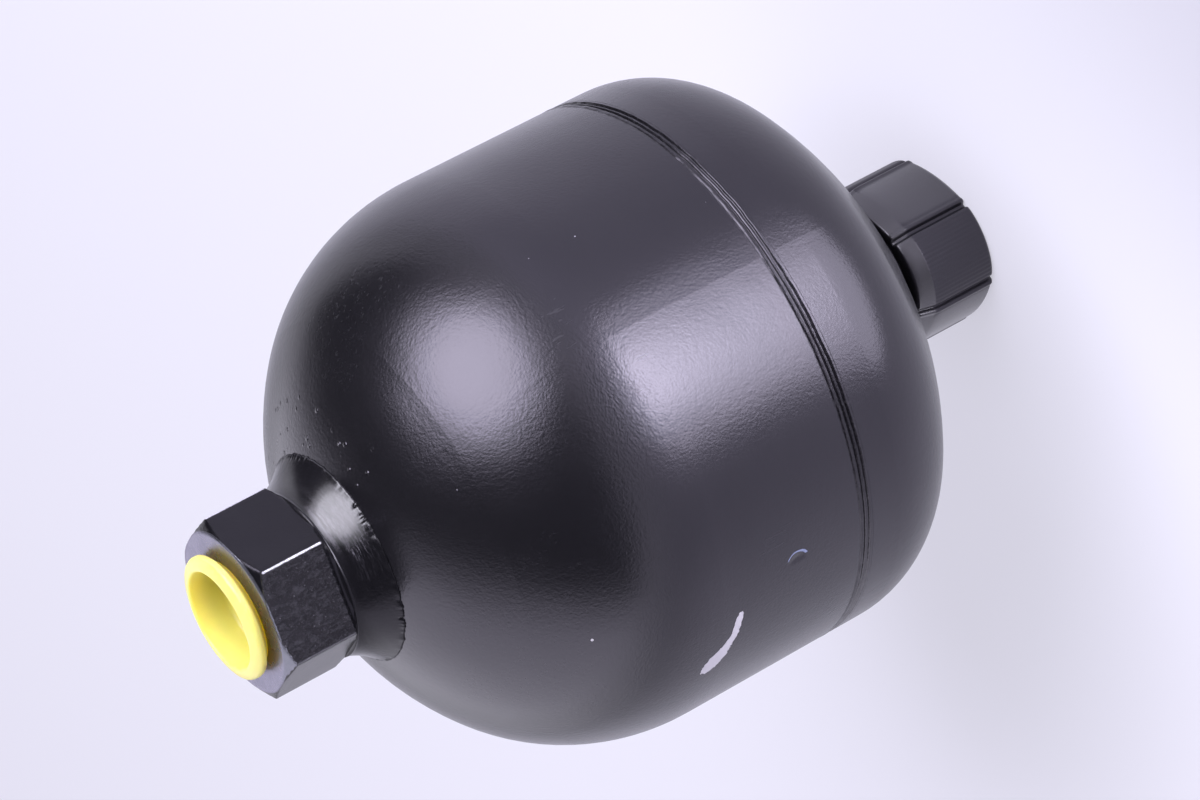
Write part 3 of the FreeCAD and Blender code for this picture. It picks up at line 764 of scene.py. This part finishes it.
def make_neck_paint():
    """Paint on the collar, and bare steel on the gas neck's thread under the cap."""
    material, nodes = new_material("neck_paint")
    where = nodes.place()
    height = nodes.parts(where)[2]
    bare = height.rise(0.0231, 0.0227)
    relief = paint_relief(nodes, where)
    grain = nodes.noise(nodes.stretched(where, (0.05, 0.05, 1.0)), 0.0005, 2.0)
    relief = nodes.bump(grain * bare, 0.00004, relief)
    colour = nodes.blend(nodes.noise(where, 0.008, 3.0), PAINT, PAINT_THIN)
    colour = nodes.blend(bare, colour, nodes.blend(grain, BARE_STEEL, (0.38, 0.37, 0.38)))
    finish_surface(nodes, colour, 0.24 + grain * 0.1, relief, bare * 0.9, IOR=1.6, Specular_Tint=SHEEN)
    return material


def make_cap_plastic():
    """Black moulded plastic: a satin skin with a fine spark grain, smoother on the flats and the shoulder."""
    material, nodes = new_material("cap_plastic")
    where = nodes.place()
    smooth = nodes.parts(where)[2].rise(0.0184, 0.0190)
    for third in range(3):
        flat_out = direction_at(math.degrees(CAP_FLAT) + 120 * third)[0]
        smooth = smooth.most(nodes.along(where, flat_out).rise(0.0190, 0.0194))
    grain = nodes.noise(where, 0.0004, 3.0, 0.6)
    sink = nodes.noise(where, 0.012, 2.0)
    relief = nodes.bump(sink, 0.00012)
    relief = nodes.bump(grain, 0.000035, relief)
    scuff = nodes.noise(nodes.stretched(where, (1.0, 1.0, 0.25)), 0.0013, 4.0, 0.7).rise(0.60, 0.78)
    colour = nodes.blend(scuff * 0.3, (0.0085, 0.0080, 0.0100), (0.035, 0.034, 0.040))
    roughness = 0.30 + grain * 0.10 + scuff * 0.12
    skin = {"Coat Weight": smooth * 0.75, "Coat Roughness": 0.22, "Coat IOR": 1.6}
    finish_surface(nodes, colour, roughness, relief, IOR=1.62, Specular_Tint=SHEEN, **skin)
    return material


def make_plug_plastic():
    """Thin yellow polyethylene: waxy, letting some light through, with a painted glow inside the cup: a
    deeper, brighter yellow in place of light shining through the wall, lifting the shade there.
    """
    material, nodes = new_material("plug_plastic")
    where = nodes.place()
    height = nodes.parts(where)[2]
    flow = nodes.noise(nodes.stretched(where, (1.0, 1.0, 0.4)), 0.007, 3.0, 0.55)
    grain = nodes.noise(where, 0.0007, 3.0, 0.6)
    relief = nodes.bump(flow, 0.00016)
    relief = nodes.bump(grain, 0.00002, relief)
    # painted glow: the inside of the cup is coloured deeper and brighter to stand in for light coming through
    # the thin wall
    inside = height.rise(0.2160, 0.2085)
    colour = nodes.blend(flow, (0.75, 0.655, 0.155), (0.77, 0.695, 0.21))
    colour = nodes.blend(inside * 0.85, colour, (0.87, 0.69, 0.11))
    finish_surface(
        nodes,
        colour,
        0.30 + grain * 0.08,
        relief,
        IOR=1.5,
        Subsurface_Weight=0.7,
        Subsurface_Scale=0.009,
        Subsurface_Radius=(1.0, 0.7, 0.15),
    )
    return material


def make_rubber():
    """Matt black rubber with a faint bloom."""
    material, nodes = new_material("rubber_black")
    where = nodes.place()
    grain = nodes.noise(where, 0.0009, 3.0, 0.6)
    bloom = nodes.noise(where, 0.015, 3.0)
    colour = nodes.blend(bloom, (0.018, 0.018, 0.018), (0.035, 0.035, 0.034))
    finish_surface(nodes, colour, 0.7 + grain * 0.15, nodes.bump(grain, 0.00006))
    return material


def make_machined(name, light, dark, metallic=0.95):
    """Turned steel: rings about the axis in its colour, its roughness and its relief."""
    material, nodes = new_material(name)
    where = nodes.place()
    rings = nodes.noise(nodes.stretched(where, (0.04, 0.04, 1.0)), 0.0006, 3.0, 0.6)
    stain = nodes.noise(where, 0.01, 3.0)
    colour = nodes.blend(stain * 0.6 + rings * 0.4, dark, light)
    finish_surface(nodes, colour, 0.26 + rings * 0.16, nodes.bump(rings, 0.00003), metallic)
    return material


# ---------------------------------------------------------------- putting the pieces together


def dress(node, material):
    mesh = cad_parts[node].data
    mesh.materials.clear()
    mesh.materials.append(material)


def place_piece(piece, body, node, material):
    """A new piece that takes a CAD node's place on its body."""
    piece.data.materials.append(material)
    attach(piece, body)
    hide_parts(node)
    return piece


shell_paint = make_shell_paint()
rubber = make_rubber()
dress("fluid_shell", shell_paint)
dress("gas_shell", shell_paint)
dress("gas_neck", make_neck_paint())
dress("charging_screw", make_machined("zinc_plate", (0.66, 0.66, 0.63), (0.50, 0.50, 0.47)))
dress("charging_seal", rubber)
dress("diaphragm_button", make_machined("button_steel", (0.56, 0.56, 0.56), (0.40, 0.40, 0.40)))
dress("clamp_ring", make_machined("ring_steel", (0.47, 0.46, 0.45), (0.33, 0.32, 0.31)))

place_piece(make_girth_weld(), "accumulator", "girth_weld", make_weld_paint())
place_piece(make_port_adapter(), "accumulator", "port_adapter", make_port_paint())
place_piece(make_port_plug(), "plug", "port_plug", make_plug_plastic())
place_piece(make_protective_cap(), "cap", "protective_cap", make_cap_plastic())
diaphragm = place_piece(make_diaphragm(), "accumulator", "diaphragm", rubber)
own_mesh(diaphragm)


# ---------------------------------------------------------------- floor, light and camera

PALE = (0.90, 0.885, 1.0)


def make_floor():
    """A round pale floor under the flat end of the cap. To the eye it glows: less in a patch on the near
    side and more in one on the low side of the picture, and both patches end before the horizon."""
    angles = np.linspace(0, TURN, 128, endpoint=False)[None]
    radius = np.array([[0.0], [300.0], [1200.0], [9000.0]])
    just_below = -0.05
    floor = from_grid("floor", turned(radius, np.full((4, 1), just_below), angles))
    material, nodes = new_material("floor_paper")
    path = {
        name: nodes.add("LightPath", output=name)
        for name in ("Is Camera Ray", "Is Glossy Ray", "Is Transmission Ray")
    }
    seen = path["Is Camera Ray"].most(path["Is Glossy Ray"]).most(path["Is Transmission Ray"])
    x, y = nodes.parts(nodes.place())[:2]
    near = x.rise(0.05, 0.20) * x.rise(1.4, 0.6) * y.rise(1.2, 0.5) * y.rise(-1.2, -0.5)
    low_side = y.rise(-0.09, -0.28) * y.rise(-1.4, -0.7) * x.rise(0.10, -0.02) * x.rise(-1.4, -0.7)
    tone = (*[0.84 * c for c in PALE], 1.0)
    paper = nodes.add("BsdfDiffuse", inputs={"Color": tone})
    glow = nodes.add("Emission", inputs={"Color": tone, "Strength": 1.12 - near * 0.55 + low_side * 0.22})
    nodes.finish(nodes.add("MixShader", inputs={0: seen * 0.6, 1: paper, 2: glow}))
    floor.data.materials.append(material)


def light_world():
    """A pale room on the side where the table was and along the horizon, brighter on the low side of the
    picture, and a dark room elsewhere."""
    world = bpy.data.worlds.new("studio")
    bpy.context.scene.world = world
    world.use_nodes = True
    nodes = Nodes(world.node_tree)
    towards = nodes.add("TexCoord", output="Generated")
    up = nodes.parts(towards)[2]
    table = nodes.along(towards, (-math.cos(TABLE_UP), -math.sin(TABLE_UP), 0.0)).rise(0.12, 0.60)
    horizon = up.rise(0.20, 0.09)
    low_side = nodes.along(towards, (-0.35, -0.93, 0.0)).rise(0.2, 0.8)
    dark = (0.012, 0.011, 0.014)
    colour = nodes.blend(table, dark, tuple(1.9 * c for c in PALE))
    far_wall = nodes.blend(low_side, tuple(0.85 * c for c in PALE), tuple(1.25 * c for c in PALE))
    colour = nodes.blend(horizon, colour, far_wall)
    background = nodes.add("Background", inputs={"Color": colour, "Strength": 1.0})
    nodes.finish(background, "ShaderNodeOutputWorld")


def aim(direction):
    """The rotation of a lamp that shines back along a direction."""
    return Vector(direction).to_track_quat("Z", "Y").to_euler()


def add_lamp(name, place, facing, radius, brightness):
    """A round soft lamp at a place in metres, shining along facing. Its power follows from its brightness:
    a disc of area pi r^2 that is as bright from every side gives pi times its brightness times its area."""
    lamp = bpy.data.lights.new(name, "AREA")
    lamp.shape = "DISK"
    lamp.size = 2 * radius
    lamp.energy = brightness * math.pi * math.pi * radius**2
    lamp.color = PALE
    holder = bpy.data.objects.new(name, lamp)
    holder.location = place
    holder.rotation_euler = aim([-part for part in facing])
    holder.visible_camera = False
    bpy.context.scene.collection.objects.link(holder)


# the camera fitted to the photograph: millimetres, radians and pixels of the full picture
CAMERA_PLACE = np.array([1085.16, -237.39, 629.71])
CAMERA_AZIMUTH = math.radians(-12.34)
CAMERA_PAN = -0.0035
CAMERA_TILT = 0.4422
CAMERA_ROLL = -2.0585
FOCAL_PIXELS = 5091.07
PHOTO_WIDTH = 1200


def add_camera():
    """The photograph's camera: it looks down at the vessel and is rolled, so that the vessel lies."""
    azimuth = CAMERA_AZIMUTH + CAMERA_PAN
    ahead = -np.array([
        math.cos(CAMERA_TILT) * math.cos(azimuth),
        math.cos(CAMERA_TILT) * math.sin(azimuth),
        math.sin(CAMERA_TILT),
    ])
    level = np.cross(ahead, [0, 0, 1])
    level /= np.linalg.norm(level)
    upright = np.cross(level, ahead)
    right = math.cos(CAMERA_ROLL) * level + math.sin(CAMERA_ROLL) * upright
    above = -math.sin(CAMERA_ROLL) * level + math.cos(CAMERA_ROLL) * upright
    data = bpy.data.cameras.new("camera")
    data.sensor_width = 36.0
    data.sensor_fit = "HORIZONTAL"
    data.lens = FOCAL_PIXELS * data.sensor_width / PHOTO_WIDTH
    data.clip_start = 0.05
    data.clip_end = 50.0
    camera = bpy.data.objects.new("camera", data)
    matrix = np.eye(4)
    matrix[:3, 0], matrix[:3, 1], matrix[:3, 2] = right, above, -ahead
    matrix[:3, 3] = CAMERA_PLACE * MM
    camera.matrix_world = Matrix(matrix.tolist())
    bpy.context.scene.collection.objects.link(camera)
    bpy.context.scene.camera = camera


make_floor()
light_world()
# The high and the low lamp are each a bright disc with a wider, weaker one behind it, so that their mirror
# images have soft edges. A third disc near the vessel is weak and belongs to the low one.
HIGH_LAMP = np.array([0.6388, 0.4632, 0.614])
HIGH_RISE = np.array([0.0, 0.0, 0.11])
UPWARDS = (0.0, 0.0, 1.0)
add_lamp("soft_lamp_high", tuple(HIGH_LAMP * 1.5 + HIGH_RISE), tuple(-HIGH_LAMP), radius=0.63, brightness=6.4)
add_lamp(
    "soft_lamp_high_rim",
    tuple(HIGH_LAMP * 1.55 + HIGH_RISE),
    tuple(-HIGH_LAMP),
    radius=0.92,
    brightness=3.4,
)
add_lamp("soft_lamp_low", (0.385, -0.056, 0.005), UPWARDS, radius=0.110, brightness=12.5)
add_lamp("soft_lamp_low_rim", (0.365, -0.058, 0.002), UPWARDS, radius=0.165, brightness=5.0)
add_lamp("soft_lamp_near", (0.172, -0.042, 0.008), UPWARDS, radius=0.072, brightness=3.8)
add_camera()
bpy.context.scene.view_settings.view_transform = "Standard"
